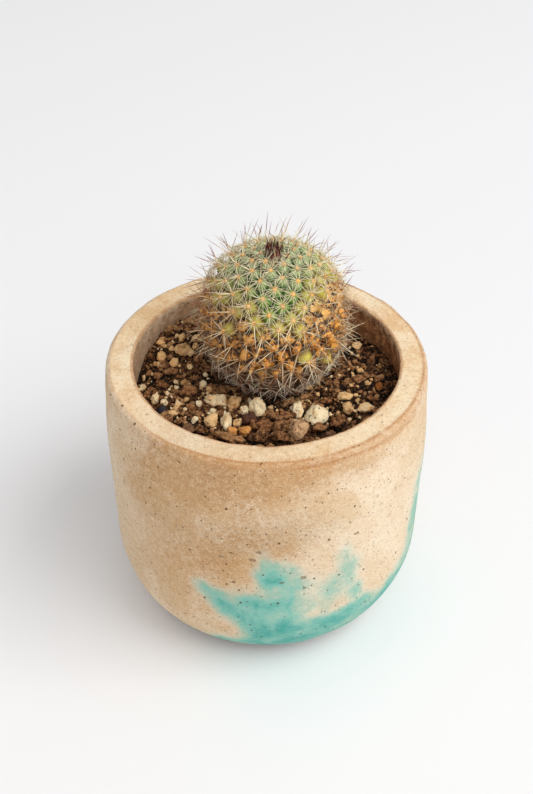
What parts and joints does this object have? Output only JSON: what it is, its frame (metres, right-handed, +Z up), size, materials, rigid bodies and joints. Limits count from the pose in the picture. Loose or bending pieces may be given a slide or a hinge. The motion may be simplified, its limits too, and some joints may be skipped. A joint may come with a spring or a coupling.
{
  "type": "potted round cactus",
  "caption": "Round spiny cactus growing in soil with loose pumice stones, in a thick-walled stone-like pot with a rounded bottom and a flat foot.",
  "frame": {"origin": "centre of the pot's flat foot, on the surface that it stands on", "axes": "+Z up along the pot's axis; -Y towards the picture's camera; +X to the right in the picture"},
  "size_m": [0.0926, 0.0926, 0.1237],
  "materials": {
    "pot": "matt sandy stoneware, speckled and pitted, stained turquoise near the foot",
    "soil": "dark damp crumbs of peat and bark",
    "cactus": "waxy green to ochre skin under straw-coloured spines with dark red tips",
    "pumice": "matt cream pumice",
    "gravel": "matt tan gravel with soil dust",
    "amber_gravel": "matt orange-brown gravel",
    "bark": "rough brown lumps of bark and peat",
    "charcoal": "matt black chip"
  },
  "bodies": {
    "root": {"pot": "pot", "soil": "soil", "cactus": "cactus", "stone_round": "pumice", "stone_heart": "pumice", "stone_centre": "pumice", "stone_flat": "pumice", "stone_long": "pumice", "stone_middle": "pumice", "stone_greyish": "gravel", "stone_tan_left": "gravel", "stone_small_left": "pumice", "stone_grey": "gravel", "stone_orange": "amber_gravel", "stone_amber": "amber_gravel", "stone_west_a": "pumice", "stone_west_b": "pumice", "stone_west_c": "pumice", "stone_west_d": "gravel", "stone_west_e": "pumice", "stone_west_f": "pumice", "stone_west_g": "pumice", "stone_west_h": "pumice", "stone_east_a": "gravel", "stone_east_b": "pumice", "stone_east_c": "gravel", "stone_east_d": "amber_gravel", "stone_back_a": "gravel", "stone_back_b": "pumice", "stone_back_c": "pumice", "stone_back_d": "pumice", "stone_back_e": "gravel", "stone_back_f": "pumice", "lump_front": "bark", "lump_middle": "bark", "lump_left": "bark", "lump_right": "bark", "lump_black": "charcoal", "lump_back": "bark"}
  },
  "joints": []
}
